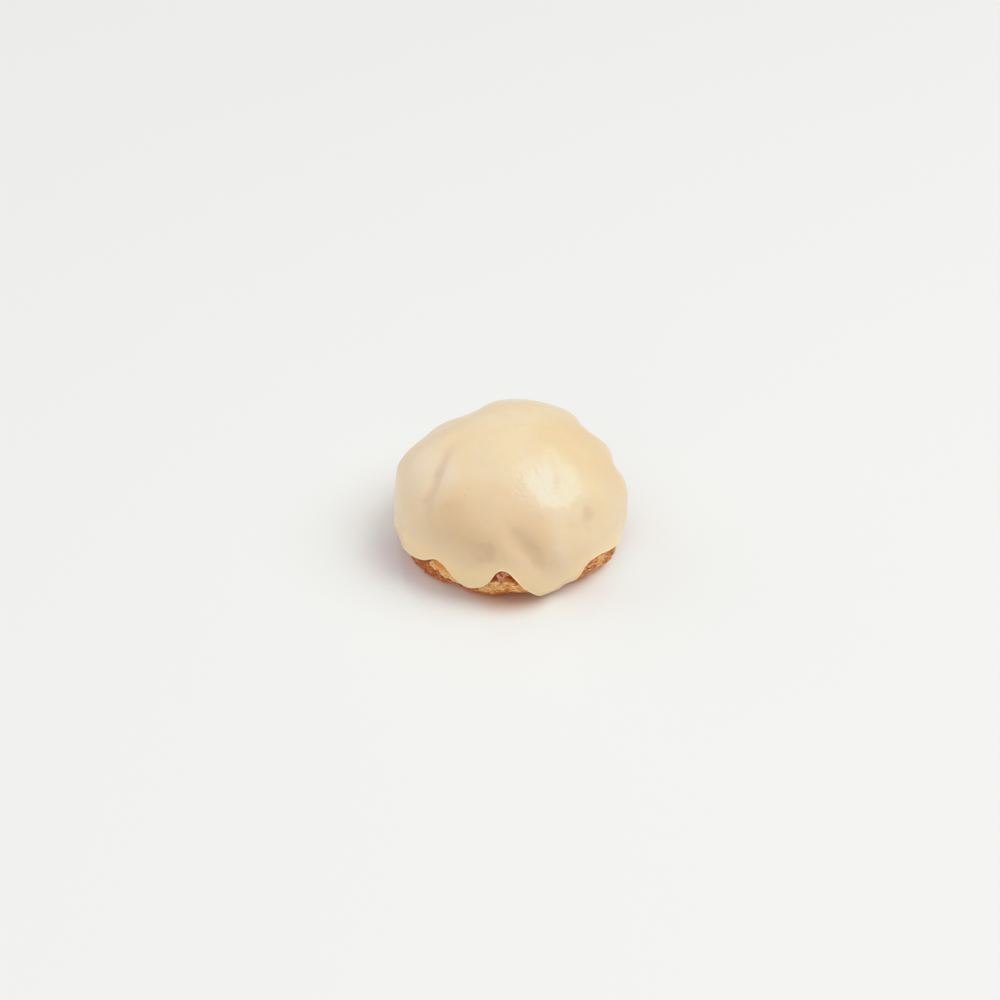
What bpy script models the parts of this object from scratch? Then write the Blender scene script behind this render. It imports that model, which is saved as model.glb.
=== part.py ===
"""Caramel choux cake: a browned choux bun under a poured coat of pale caramel icing.

Metres, +Z up. The cake stands on Z = 0 with the origin under the middle of the bun, and its front, the side
with the two long drips, faces -Y. Azimuths run from the front, positive towards +X. Elevations are seen from
the heart of the bun, the point on the axis at the level where the bun is widest. Both are in degrees.
"""

import math

import bmesh
import bpy
from mathutils import Vector, noise

MM = 0.001

# Driving sizes
CAKE_WIDTH = 74.0 * MM
CAKE_HEIGHT = 44.5 * MM
GIRTH_HEIGHT = 15.0 * MM
BASE_RADIUS = 29.5 * MM
ICING_THICKNESS = 1.0 * MM
SEAT_GAP = 0.35 * MM

# The plain bun that carries the lobes
CRUST_RADIUS = CAKE_WIDTH / 2 - ICING_THICKNESS - SEAT_GAP
UPPER_HALF = CAKE_HEIGHT - GIRTH_HEIGHT - ICING_THICKNESS - SEAT_GAP
UPPER_FULLNESS = 1.95
LOWER_FULLNESS = 2.6
LOWER_HALF = GIRTH_HEIGHT / (1 - (BASE_RADIUS / CRUST_RADIUS) ** LOWER_FULLNESS) ** (1 / LOWER_FULLNESS)
HEART = Vector((0, 0, GIRTH_HEIGHT))
BASE_ROUNDING = 2.4 * MM

# Lobes and hollows of the bun: azimuth, elevation, spread in degrees and rise in millimetres
LOBES = (
    (175, 62, 26, 0.7),
    (-93, 18, 20, 1.2),
    (-84, 4, 8, -0.5),
    (-78, -6, 5, 0.8),
    (-98, 14, 5, 0.7),
    (-60, -16, 16, 1.6),
    (-40, -24, 5, 0.5),
    (-52, -24, 13, 0.4),
    (-20, 0, 18, 0.5),
    (-19, -25, 9, 1.1),
    (15, -8, 13, 0.8),
    (46, 2, 18, 0.5),
    (48, -24, 12, 0.7),
    (66, -17, 10, 1.4),
    (62, -12, 4, 0.8),
    (70, -3, 6, -0.5),
    (79, -4, 4, 0.6),
    (34, -22, 6, -1.0),
    (90, 4, 16, 0.5),
    (136, 42, 12, 0.8),
    (122, 29, 8, -2.1),
    (104, 14, 6, -1.6),
    (83, -12, 10, -0.9),
    (-148, 42, 16, -1.6),
    (-136, 33, 9, -1.1),
    (-114, 31, 12, -1.0),
    (-151, 31, 9, -1.3),
    (-121, 22, 7, -0.5),
    (94, 18, 5, -0.9),
    (104, 15, 7, -0.7),
    (110, 4, 5, -1.6),
    (131, 23, 6, -0.5),
    (117, 14, 5, 0.5),
    (117, 36, 5, -0.6),
    (-136, 49, 8, -0.7),
    (-101, 22, 6, 0.4),
    (-13, 12, 12, -0.5),
    (43, 18, 8, -0.4),
    (-33, -24, 5, -0.9),
    (6, -26, 5, -0.8),
    (19, -27, 7, -0.9),
    (19, -16, 7, 0.6),
    (-1, -27, 8, -1.0),
    (28, -16, 5, -0.7),
)

# Furrows between the lobes, point by point: azimuth, elevation, half width, depth in millimetres
FURROWS = (
    (
        (-96, 62, 7.0, 0.0),
        (-78, 56, 6.5, 0.7),
        (-67, 46, 6.3, 1.3),
        (-59, 35, 6.3, 1.8),
        (-52, 24, 6.3, 1.5),
        (-47, 16, 6.6, 0.6),
        (-41, 9, 7.0, 0.0),
    ),
    (
        (-4, 24, 5.0, 0.0),
        (2, 18, 5.5, 0.9),
        (7, 12, 5.0, 1.0),
        (11, 6, 5.0, 1.2),
        (15, 2, 5.5, 0.7),
        (22, -3, 5.0, 0.0),
    ),
)
FURROW_LEFT_IN_ICING = 0.6

# The icing's hem: azimuth and drop below the girth in millimetres, once round the cake
HEM = (
    (-168, 6.0), (-150, 11.5), (-128, 5.5), (-106, 9.5), (-92, 7.0), (-72, 8.6), (-62, 6.8), (-56, 6.3),
    (-47, 4.6), (-38, 1.7), (-34, 2.2), (-31, 4.1), (-29, 6.0), (-26, 8.1), (-22, 8.9), (-16, 7.9),
    (-11, 5.3), (-7, 0.9), (-4.4, 0.0), (-2, 0.4), (1, 2.4), (6, 7.0), (10, 9.7), (14, 11.9), (20, 14.2),
    (24, 14.0), (27, 12.6), (29.5, 10.6), (32, 10.2), (34.5, 9.2), (38, 4.2), (42, 2.8), (47, 2.9),
    (53, 3.9), (60, 4.9), (68, 5.4), (82, 8.8), (96, 6.0), (116, 10.5), (136, 4.5), (158, 10.0),
)
HEM_BEAD = 0.25 * MM
HEM_ROUNDING = 0.9 * MM

# The bare crust below the hem swells past its level under the icing, and is broken by crags
BARE_SWELL = 1.0 * MM
BARE_FADE = 4.5
CRAG_SPACING = 4.4 * MM
CRAG_DEPTH = 1.0 * MM
BROAD_CRAGS = 0.5
FINE_CRAGS = 0.25

# Flakes that stand at the full level of the crust: azimuth, elevation and reach in degrees
FLAKES = (
    (-39, -17, 5.5),
    (-49, -22, 4.0),
    (-6, -20, 5.0),
    (48, -14, 5.0),
    (60, -20, 4.5),
    (-80, -20, 6.0),
    (100, -18, 6.0),
    (140, -14, 7.0),
    (-128, -15, 6.5),
    (176, -20, 7.0),
)
FLAKE_EDGE = 2.0

# Mesh fineness
SEGMENTS = 108
FRONT_CROWDING = 0.3
FACE_RINGS = 25
LINING_RINGS = 13
BARE_RINGS = 12
LOWEST_ELEVATION = -33.0
WELD = 0.01 * MM


def heading(azimuth, elevation):
    """Unit vector from the heart."""
    a, e = math.radians(azimuth), math.radians(elevation)
    return Vector((math.sin(a) * math.cos(e), -math.cos(a) * math.cos(e), math.sin(e)))


def smooth(value):
    """Rises smoothly from 0 to 1 as the value does."""
    t = max(0.0, min(1.0, value))
    return t * t * (3 - 2 * t)


def plain_radius(elevation):
    """Distance from the heart to the bun without its lobes."""
    e = math.radians(elevation)
    half, fullness = (UPPER_HALF, UPPER_FULLNESS) if e > 0 else (LOWER_HALF, LOWER_FULLNESS)
    level = (math.cos(e) / CRUST_RADIUS) ** fullness + (abs(math.sin(e)) / half) ** fullness
    return level ** (-1 / fullness)


def lobe_rise(direction):
    rise = 0.0
    for azimuth, elevation, spread, height in LOBES:
        away = 1 - direction.dot(heading(azimuth, elevation))
        rise += height * MM * math.exp(-away / (1 - math.cos(math.radians(spread))))
    return rise


def furrow_depth(direction):
    """Depth of the furrows, whose width and depth change along their course."""
    depth = 0.0
    for line in FURROWS:
        for (*start, start_width, start_depth), (*end, end_width, end_depth) in zip(line, line[1:]):
            a, b = heading(*start), heading(*end)
            along = max(0.0, min(1.0, (direction - a).dot(b - a) / (b - a).length_squared))
            half_width = math.radians(start_width + (end_width - start_width) * along)
            deepest = (start_depth + (end_depth - start_depth) * along) * MM
            away = (direction - a.lerp(b, along)).length / half_width
            depth = max(depth, deepest * math.exp(-away * away))
    return depth


def hem_slope(index):
    """Slope of the hem at a station, level where a drip or an arch turns."""
    count = len(HEM)
    (a, low), (b, middle), (c, high) = (HEM[(index + step) % count] for step in (-1, 0, 1))
    before = (middle - low) / ((b - a) % 360)
    after = (high - middle) / ((c - b) % 360)
    return 2 * before * after / (before + after) if before * after > 0 else 0.0


def hem_drop(azimuth):
    """Drop of the hem below the girth, on a smooth curve through the stations."""
    count = len(HEM)
    for index in range(count):
        start, low = HEM[index]
        end, high = HEM[(index + 1) % count]
        span = (end - start) % 360
        share = ((azimuth - start) % 360) / span
        if share <= 1:
            bend = (1 - share) * hem_slope(index) - share * hem_slope((index + 1) % count)
            return (low + (high - low) * smooth(share) + span * share * (1 - share) * bend) * MM
    raise ValueError("the stations leave a gap")


def hem_elevation(azimuth):
    return -math.degrees(math.asin(hem_drop(azimuth) / (CAKE_WIDTH / 2)))


def hem_round(above_hem):
    """Quarter round that ends the poured face at the hem."""
    short = 1 - max(0.0, min(1.0, above_hem / HEM_ROUNDING))
    return math.sqrt(1 - short * short)


def settled(height):
    """Height after the dough has flattened on its tray, with a small round at the edge."""
    if height >= BASE_ROUNDING:
        return height
    if height <= -BASE_ROUNDING:
        return 0.0
    return (height + BASE_ROUNDING) ** 2 / (4 * BASE_ROUNDING)


def flake_cover(azimuth, elevation):
    """1 on a flake, 0 beside it, with a steep edge between."""
    cover = 0.0
    direction = heading(azimuth, elevation)
    for middle_azimuth, middle_elevation, reach in FLAKES:
        away = math.degrees(direction.angle(heading(middle_azimuth, middle_elevation)))
        cover = max(cover, smooth((reach - away) / FLAKE_EDGE + 0.5))
    return cover


def crag_depth(azimuth, elevation):
    """Depth of the broken crust below its full level."""
    place = heading(azimuth, elevation) * (CAKE_WIDTH / 2 / CRAG_SPACING)
    rough = 0.5 + BROAD_CRAGS * noise.noise(place) + FINE_CRAGS * noise.noise(place * 2)
    return CRAG_DEPTH * rough * (1 - flake_cover(azimuth, elevation))


def crust_radius(azimuth, elevation):
    direction = heading(azimuth, elevation)
    return plain_radius(elevation) + lobe_rise(direction) - furrow_depth(direction)


def crust_point(azimuth, elevation):
    """A point of the bun, swollen and broken where no icing covers it."""
    bare = smooth((hem_elevation(azimuth) - elevation) / BARE_FADE)
    relief = bare * (BARE_SWELL - crag_depth(azimuth, elevation))
    point = HEART + heading(azimuth, elevation) * (crust_radius(azimuth, elevation) + relief)
    point.z = settled(point.z)
    return point


def icing_point(azimuth, elevation, share):
    """A point in the icing's depth: share 0 is its lining over the crust, 1 its poured face."""
    direction = heading(azimuth, elevation)
    above_hem = math.radians(elevation - hem_elevation(azimuth)) * CAKE_WIDTH / 2
    thickness = ICING_THICKNESS + HEM_BEAD * math.exp(-((above_hem / HEM_ROUNDING - 1) ** 2))
    thickness += furrow_depth(direction) * (1 - FURROW_LEFT_IN_ICING)
    lining = crust_radius(azimuth, elevation) + SEAT_GAP
    return HEART + direction * (lining + share * thickness * hem_round(above_hem))


def unit_sphere(rings):
    mesh = bmesh.new()
    bmesh.ops.create_uvsphere(mesh, u_segments=SEGMENTS, v_segments=rings, radius=1)
    return mesh


def sphere_place(vertex, rings):
    """Azimuth, crowded towards the front, and ring number counted from the top."""
    x, y, z = vertex.co
    turn = math.atan2(x, -y)
    azimuth = turn - FRONT_CROWDING * math.sin(turn)
    return math.degrees(azimuth), round(math.acos(max(-1.0, min(1.0, z))) / math.pi * rings)


def covered_elevation(azimuth, ring, rings):
    """Elevation of a ring between the crown and the hem."""
    return 90 + (hem_elevation(azimuth) - 90) * ring / (rings - 1)


def bare_elevation(azimuth, ring):
    """Elevation of a ring between the hem and the underside."""
    hem = hem_elevation(azimuth)
    return hem + (LOWEST_ELEVATION - hem) * ring / (BARE_RINGS - 1)


def named_object(name, mesh, material, collection):
    data = bpy.data.meshes.new(name)
    bmesh.ops.recalc_face_normals(mesh, faces=mesh.faces)
    mesh.to_mesh(data)
    mesh.free()
    data.shade_smooth()
    data.materials.append(material)
    made = bpy.data.objects.new(name, data)
    collection.objects.link(made)
    return made


def finish(name, colour, roughness):
    material = bpy.data.materials.new(name)
    material.use_nodes = True
    shader = material.node_tree.nodes["Principled BSDF"]
    shader.inputs["Base Color"].default_value = (*colour, 1)
    shader.inputs["Roughness"].default_value = roughness
    return material


def choux_bun(collection):
    """The whole bun, on the lining's own rings down to the hem so that the gap between them is even."""
    rings = LINING_RINGS - 1 + BARE_RINGS
    mesh = unit_sphere(rings)
    for vertex in mesh.verts:
        azimuth, ring = sphere_place(vertex, rings)
        if ring == rings:
            vertex.co = Vector((0, 0, 0))
        elif ring < LINING_RINGS:
            vertex.co = crust_point(azimuth, covered_elevation(azimuth, ring, LINING_RINGS))
        else:
            vertex.co = crust_point(azimuth, bare_elevation(azimuth, ring - LINING_RINGS + 1))
    return named_object("choux_bun", mesh, finish("browned_crust", (0.52, 0.24, 0.09), 0.6), collection)


def icing_skin(rings, share):
    """One side of the icing, from the crown down to the hem, with an open edge."""
    mesh = unit_sphere(rings)
    places = {vertex: sphere_place(vertex, rings) for vertex in mesh.verts}
    for vertex, (azimuth, ring) in places.items():
        vertex.co = icing_point(azimuth, covered_elevation(azimuth, ring, rings), share)
    south = [vertex for vertex, (_, ring) in places.items() if ring == rings]
    bmesh.ops.delete(mesh, geom=south, context="VERTS")
    return mesh


def caramel_icing(collection):
    """The poured face and the lining, joined along the hem."""
    mesh = icing_skin(FACE_RINGS, 1)
    lining = icing_skin(LINING_RINGS, 0)
    data = bpy.data.meshes.new("lining")
    lining.to_mesh(data)
    lining.free()
    mesh.from_mesh(data)
    bpy.data.meshes.remove(data)
    bmesh.ops.remove_doubles(mesh, verts=mesh.verts, dist=WELD)
    return named_object("caramel_icing", mesh, finish("caramel_icing", (0.83, 0.66, 0.42), 0.35), collection)


def main():
    for old in list(bpy.data.objects):
        bpy.data.objects.remove(old)
    cake = bpy.data.collections.new("caramel_choux_cake")
    bpy.context.scene.collection.children.link(cake)
    choux_bun(cake)
    caramel_icing(cake)


main()
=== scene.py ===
"""Dresses the caramel choux cake: its poured icing and its crackled crust, with a camera, light and floor.

Metres, +Z up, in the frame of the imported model. The front of the cake, with the two long drips, faces -Y.
Azimuths run from the front, positive towards +X. Elevations are seen from the heart of the bun, the point on
the axis at the level where the bun is widest. Both are in degrees.
"""

import itertools
import math

import bmesh
import bpy
import numpy as np
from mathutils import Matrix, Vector, noise


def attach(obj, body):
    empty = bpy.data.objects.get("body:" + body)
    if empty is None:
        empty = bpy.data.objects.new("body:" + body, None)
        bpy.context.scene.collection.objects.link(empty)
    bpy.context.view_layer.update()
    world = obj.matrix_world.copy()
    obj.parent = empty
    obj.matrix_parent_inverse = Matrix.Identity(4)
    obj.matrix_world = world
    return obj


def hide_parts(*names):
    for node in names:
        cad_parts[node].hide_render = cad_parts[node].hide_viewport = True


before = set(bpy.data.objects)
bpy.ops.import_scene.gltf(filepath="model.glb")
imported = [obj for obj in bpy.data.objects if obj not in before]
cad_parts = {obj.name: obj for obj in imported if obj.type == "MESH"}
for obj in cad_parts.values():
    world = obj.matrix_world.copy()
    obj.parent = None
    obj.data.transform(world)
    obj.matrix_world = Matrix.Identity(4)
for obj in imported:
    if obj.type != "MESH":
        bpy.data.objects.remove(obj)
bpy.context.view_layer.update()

MM = 0.001

# Sizes of the cake, as in the part's source
CAKE_WIDTH = 74.0 * MM
CAKE_HEIGHT = 44.5 * MM
GIRTH_HEIGHT = 15.0 * MM
BASE_RADIUS = 29.5 * MM
ICING_THICKNESS = 1.0 * MM
SEAT_GAP = 0.35 * MM
GIRTH_RADIUS = CAKE_WIDTH / 2
CRUST_RADIUS = GIRTH_RADIUS - ICING_THICKNESS - SEAT_GAP
UPPER_HALF = CAKE_HEIGHT - GIRTH_HEIGHT - ICING_THICKNESS - SEAT_GAP
UPPER_FULLNESS = 1.95
LOWER_FULLNESS = 2.6
LOWER_HALF = GIRTH_HEIGHT / (1 - (BASE_RADIUS / CRUST_RADIUS) ** LOWER_FULLNESS) ** (1 / LOWER_FULLNESS)
BASE_ROUNDING = 2.4 * MM
MM_PER_DEGREE = math.radians(GIRTH_RADIUS) / MM

# Lobes and hollows of the bun, as in the part's source: azimuth, elevation, spread, rise in millimetres
LOBES = (
    (175, 62, 26, 0.7),
    (-93, 18, 20, 1.2),
    (-84, 4, 8, -0.5),
    (-78, -6, 5, 0.8),
    (-98, 14, 5, 0.7),
    (-60, -16, 16, 1.6),
    (-40, -24, 5, 0.5),
    (-52, -24, 13, 0.4),
    (-20, 0, 18, 0.5),
    (-19, -25, 9, 1.1),
    (15, -8, 13, 0.8),
    (46, 2, 18, 0.5),
    (48, -24, 12, 0.7),
    (66, -17, 10, 1.4),
    (62, -12, 4, 0.8),
    (70, -3, 6, -0.5),
    (79, -4, 4, 0.6),
    (34, -22, 6, -1.0),
    (90, 4, 16, 0.5),
    (136, 42, 12, 0.8),
    (122, 29, 8, -2.1),
    (104, 14, 6, -1.6),
    (83, -12, 10, -0.9),
    (-148, 42, 16, -1.6),
    (-136, 33, 9, -1.1),
    (-114, 31, 12, -1.0),
    (-151, 31, 9, -1.3),
    (-121, 22, 7, -0.5),
    (94, 18, 5, -0.9),
    (104, 15, 7, -0.7),
    (110, 4, 5, -1.6),
    (131, 23, 6, -0.5),
    (117, 14, 5, 0.5),
    (117, 36, 5, -0.6),
    (-136, 49, 8, -0.7),
    (-101, 22, 6, 0.4),
    (-13, 12, 12, -0.5),
    (43, 18, 8, -0.4),
    (-33, -24, 5, -0.9),
    (6, -26, 5, -0.8),
    (19, -27, 7, -0.9),
    (19, -16, 7, 0.6),
    (-1, -27, 8, -1.0),
    (28, -16, 5, -0.7),
)

# Furrows between the lobes, point by point: azimuth, elevation, half width, depth in millimetres
FURROWS = (
    (
        (-96, 62, 7.0, 0.0),
        (-78, 56, 6.5, 0.7),
        (-67, 46, 6.3, 1.3),
        (-59, 35, 6.3, 1.8),
        (-52, 24, 6.3, 1.5),
        (-47, 16, 6.6, 0.6),
        (-41, 9, 7.0, 0.0),
    ),
    (
        (-4, 24, 5.0, 0.0),
        (2, 18, 5.5, 0.9),
        (7, 12, 5.0, 1.0),
        (11, 6, 5.0, 1.2),
        (15, 2, 5.5, 0.7),
        (22, -3, 5.0, 0.0),
    ),
)
FURROW_LEFT_IN_ICING = 0.6

# The icing's hem: azimuth and drop below the girth in millimetres, once round the cake
HEM = (
    (-168, 6.0), (-150, 11.5), (-128, 5.5), (-106, 9.5), (-92, 7.0), (-72, 8.6), (-62, 6.8), (-56, 6.3),
    (-47, 4.6), (-38, 1.7), (-34, 2.2), (-31, 4.1), (-29, 6.0), (-26, 8.1), (-22, 8.9), (-16, 7.9),
    (-11, 5.3), (-7, 0.9), (-4.4, 0.0), (-2, 0.4), (1, 2.4), (6, 7.0), (10, 9.7), (14, 11.9), (20, 14.2),
    (24, 14.0), (27, 12.6), (29.5, 10.6), (32, 10.2), (34.5, 9.2), (38, 4.2), (42, 2.8), (47, 2.9),
    (53, 3.9), (60, 4.9), (68, 5.4), (82, 8.8), (96, 6.0), (116, 10.5), (136, 4.5), (158, 10.0),
)

# The icing's rounded end at the hem, the bead above it, and the gap to the crust that shows below
CAP_HEIGHT = 0.36 * MM
BEAD_HEIGHT = 0.42 * MM
BEAD_WIDTH = 0.48 * MM
BEAD_RISE = 0.34 * MM
VISIBLE_GAP = 0.17 * MM

# Soft dents and bumps of the icing's face: azimuth, elevation, spread, rise in millimetres
DENTS = (
    (-12, 8, 6, -0.55),
    (-20, 10, 7, -0.40),
    (-33, 14, 8, -0.25),
    (-63, 17, 6, -0.30),
    (-71, 30, 9, 0.55),
    (-88, 34, 7, 0.25),
    (-78, 10, 7, 0.25),
    (-36, 30, 8, 0.20),
    (-38, 8, 6, -0.20),
    (24, 6, 6, 0.55),
    (4, 6, 6, 0.25),
    (31, 17, 4, -0.25),
    (45, 18, 8, -0.55),
    (-17, -3, 6, 0.20),
    (15, -15, 6, 0.40),
    (60, 26, 8, 0.25),
    (74, 18, 6, -0.25),
    (66, 42, 7, -0.20),
    (20, 66, 10, -0.25),
    (-20, 66, 10, 0.25),
)

# Folds and ridges of the icing's face, point by point, as FURROWS
FOLDS = (
    (
        (48, 66, 3.2, 0.0),
        (46, 58, 3.4, 0.20),
        (42, 49, 3.2, 0.38),
        (36, 41, 3.2, 0.44),
        (31, 34, 3.4, 0.26),
        (26, 28, 3.4, 0.0),
    ),
    ((0, 24, 5.0, 0.0), (5, 18, 5.0, 0.30), (10, 11, 4.6, 0.42), (14, 6, 4.6, 0.30), (20, 1, 5.0, 0.0)),
    ((-21, 33, 1.6, 0.0), (-20, 27, 1.6, 0.05), (-21, 20, 1.6, 0.0)),
    ((66, 30, 2.6, 0.0), (60, 40, 2.6, 0.10), (63, 50, 2.6, 0.0)),
    ((-30, 40, 2.6, 0.0), (-22, 46, 2.6, 0.08), (-12, 48, 2.6, 0.0)),
)
RIDGES = (
    (
        (-64, 56, 6.0, 0.0),
        (-54, 47, 6.0, 0.20),
        (-48, 37, 6.0, 0.30),
        (-43, 27, 6.0, 0.20),
        (-38, 20, 6.0, 0.0),
    ),
    ((4, 56, 7.0, 0.0), (8, 47, 7.0, 0.35), (17, 33, 6.5, 0.45), (22, 27, 6.0, 0.0)),
    ((54, 46, 5.5, 0.0), (50, 38, 5.5, 0.25), (41, 28, 5.5, 0.25), (36, 24, 5.5, 0.0)),
)

# How far the outlines of these dents, folds and ridges wander, in degrees
WANDER = 2.2
WANDER_SPACING = 6.0 * MM

# Relief of the poured face: heights and spacings, with more of some on the low face and where it wrinkles
SWELL_HEIGHT = 0.40 * MM
SWELL_SPACING = 13.0 * MM
WAVE_HEIGHT = 0.15 * MM
WAVE_HEIGHT_LOW = 0.12 * MM
WAVE_SPACING = 6.5 * MM
RIPPLE_HEIGHT = 0.045 * MM
RIPPLE_SPACING = 2.8 * MM
FLOW_HEIGHT = 0.02 * MM
FLOW_WIDTH_MM = 1.6
FLOW_LENGTH_MM = 14.0
WRINKLE_HEIGHT = 0.12 * MM
WRINKLE_LEVEL = 0.7
WRINKLE_SPACING = 1.9 * MM
GRAIN_HEIGHT = 0.006 * MM
GRAIN_HEIGHT_WRINKLED = 0.05 * MM
GRAIN_SPACING = 1.1 * MM

# Where the icing lies thinnest and the crust tints it, with painted shade over the low middle of the face:
# azimuth, elevation and spread
THIN_AND_SHADED = (
    (-16, 27, 18),
    (-36, 20, 14),
    (8, 22, 12),
    (-12, 8, 8),
    (-22, 13, 9),
    (14, 12, 7),
    (20, 3, 6),
)

# Where a deeper yellow is painted on the icing's right side, to hold back the sheen the lamps put there:
# azimuth, elevation and spread
LESS_SHEEN = (
    (88, 36, 24),
    (70, 60, 18),
    (96, 16, 16),
)

# Where a paler painted sheen and highlight lies on the icing: azimuth, elevation and spread
SHEEN_SPOTS = (
    (-74, 34, 11),
    (-51, 40, 7),
    (22, 40, 13),
    (22, 9, 5),
)

# Where the face wrinkles most finely: azimuth, elevation and spread
WRINKLES = (
    (8, 36, 6),
    (14, 50, 7),
    (16, 42, 8),
    (22, 34, 8),
    (36, 34, 8),
    (46, 36, 8),
    (40, 27, 6),
)

# Where marks of the icing start and are full: elevations, heights above the hem, shares of its thickness.
# Painted shade on the low face, under the hem and in the hollows, and painted light on the drips and the rim,
# start and are full here too
WAVY_FACE = (40.0, -5.0)
SHADED_LOW_FACE = (36.0, 2.0)
DRIP_ELEVATIONS = (7.0, -5.0)
DRIP_HEIGHTS = (12.0 * MM, 4.0 * MM)
TUCKED_SHARES = (0.85, 0.35)
RIM_HEIGHT = 0.5 * MM
RIM_WIDTH = 0.4 * MM
FULL_FURROW = 1.82 * MM
FULL_DENT = 0.7 * MM
UNEVEN_TINT = 0.3
UNEVEN_SPACING = 6.0 * MM

# The bare crust below the hem, as in the part's source
BARE_SWELL = 1.0 * MM
BARE_FADE = 4.5
CRAG_SPACING = 4.4 * MM
CRAG_DEPTH = 1.0 * MM
BROAD_CRAGS = 0.5
FINE_CRAGS = 0.25

# Flakes that stand at the full level of the crust: azimuth, elevation and reach in degrees
FLAKES = (
    (-39, -17, 5.5),
    (-49, -22, 4.0),
    (-6, -20, 5.0),
    (48, -14, 5.0),
    (60, -20, 4.5),
    (-80, -20, 6.0),
    (100, -18, 6.0),
    (140, -14, 7.0),
    (-128, -15, 6.5),
    (176, -20, 7.0),
)
FLAKE_EDGE = 2.0

# Patches where the skin has torn open: corners in azimuth and elevation, hidden where icing covers them
TORN_PATCHES = (
    ((-47, 2), (-44.8, -5.6), (-44, -9.6), (-42, -11.3), (-39.5, -11.1), (-36.6, -12.4), (-33.9, -13.9),
     (-30.8, -14.9), (-26, -17), (-22, -12), (-32, 2)),
    ((-140, 0), (-136, -13), (-130, -16), (-124, -14), (-119, -17), (-114, -12), (-116, 0)),
    ((86, 0), (90, -12), (95, -15), (101, -13), (106, -17), (110, -6), (108, 0)),
    ((128, 0), (131, -13), (137, -16), (144, -14), (149, -18), (155, -12), (150, 0)),
    ((-178, 0), (-176, -14), (-170, -18), (-163, -15), (-158, -10), (-160, 0)),
)

# The torn patches: their depth and jagged edges, the lip that lifts beside them and the crack behind the lip,
# painted dark as the shadow under the lip
TEAR_DEPTH = 0.42 * MM
LIP_RISE = 0.26 * MM
JAGS_MM = 0.45
JAG_SPACING = 1.9 * MM
FINE_JAGS_MM = 0.25
FINE_JAG_SPACING = 0.8 * MM
TEAR_EDGE_MM = (-0.125, 0.125)
DEEP_TEAR_MM = (0.3, 1.6)
LIP_MIDDLE_MM = -0.05
LIP_WIDTH_MM = 0.19
LIP_SPACING = 1.3 * MM
LIP_CLOUDS = (-0.667, 0.167)
UNDERCUT_MIDDLE_MM = -0.60
UNDERCUT_WIDTH_MM = 0.25
UNDERCUT_SPACING = 1.8 * MM
UNDERCUT_CLOUDS = (-0.05, 0.45)

# Where the crust is baked open and finely pitted: azimuth, elevation and spread
PITTED = (
    (-14, -15, 6),
    (-7, -12, 4.5),
    (-1, -12, 4.5),
    (6, -14, 5),
    (12, -18, 6),
    (52, -10, 6),
    (118, -12, 6),
    (-150, -14, 6),
    (162, -16, 6),
)

# How much of these spots is open crumb, and how uneven its edges are
CRUMB_GAIN = 1.5
CRUMB_MOST = 1.2
CRUMB_LEVEL = -0.45
CRUMB_UNEVEN = 0.5
CRUMB_SPACING = 2.4 * MM

# Pits, their radius in spacings, and how many there are anywhere, in the torn patches and in the open crumb
PIT_SPACING = 1.15 * MM
PIT_RADIUS = 0.42
PIT_DEPTH = 0.20 * MM
PITS_ANYWHERE = 0.1
PITS_TORN = -0.3
PITS_CRUMB = 0.9
PIT_CLOUD_SPACING = 3.5 * MM

# Dark cracks of the skin, point by point, as FURROWS
CRACKS = (
    (
        (-12.0, -8.2, 0.8, 0.2),
        (-9.8, -5.4, 0.9, 0.5),
        (-8.0, -5.2, 0.9, 0.5),
        (-6.8, -7.4, 0.7, 0.4),
        (-5.6, -7.9, 0.6, 0.1),
    ),
    ((-6.0, -2.2, 0.6, 0.2), (-4.6, -4.2, 0.8, 0.4), (-4.8, -5.6, 0.6, 0.1)),
    (
        (-3.4, -5.8, 0.7, 0.2),
        (-1.4, -4.6, 0.9, 0.5),
        (0.4, -6.2, 1.0, 0.5),
        (2.6, -6.6, 0.9, 0.4),
        (4.4, -8.0, 0.7, 0.1),
    ),
    ((-38.4, -14.4, 0.5, 0.2), (-35.2, -15.4, 0.8, 0.5), (-32.0, -15.9, 0.6, 0.2)),
    ((-31.0, -16.6, 0.6, 0.3), (-27.5, -17.6, 0.7, 0.5), (-25.0, -19.0, 0.6, 0.3)),
    ((41.2, -10.8, 0.5, 0.3), (42.8, -12.0, 0.6, 0.5)),
    ((45.4, -11.4, 0.4, 0.2), (50.0, -12.1, 0.4, 0.4)),
    ((54.0, -8.4, 0.4, 0.2), (57.0, -9.0, 0.4, 0.4), (60.0, -8.8, 0.3, 0.1)),
)

# Depth of the cracks, and how far they are shaken off the drawn course, in degrees
CRACK_DEPTH = 0.45 * MM
SHAKE_AROUND = 1.3
SHAKE_UP = 0.9
SHAKE_SPACING = 1.4 * MM

# Fine net of cracks over parts of the skin, its width in spacings
NET_SPACING = 3.2 * MM
NET_WIDTH = 0.10
NET_STRENGTH = 0.7
NET_CLOUD_SPACING = 6.0 * MM
NET_CLOUDS = (-0.083, 0.75)
WARP = 0.8 * MM
WARP_SPACING = 2.6 * MM

# Where the crust is finely creased along the foot: azimuth, elevation and spread
CREASED = (
    (56, -11, 22),
    (-70, -16, 14),
    (-98, -14, 12),
    (120, -14, 10),
    (-150, -12, 8),
)

# Streaks and creases along the foot
STREAK_LENGTH_MM = 2.2
STREAK_WIDTH_MM = 0.42
STREAK_BEND_MM = 0.5
STREAK_BEND_SPACING = 3.0 * MM
STREAKS_ON_PLAIN_SKIN = 0.4
STREAK_HEIGHT = 0.03 * MM
STREAK_HEIGHT_CREASED = 0.09 * MM

# Where the crust is baked smooth and pink under a film of icing: azimuth, elevation and spread
GLAZED = (
    (-4.5, -3.5, 4.5),
    (118, -4, 6),
    (-106, -8, 5),
)

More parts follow.
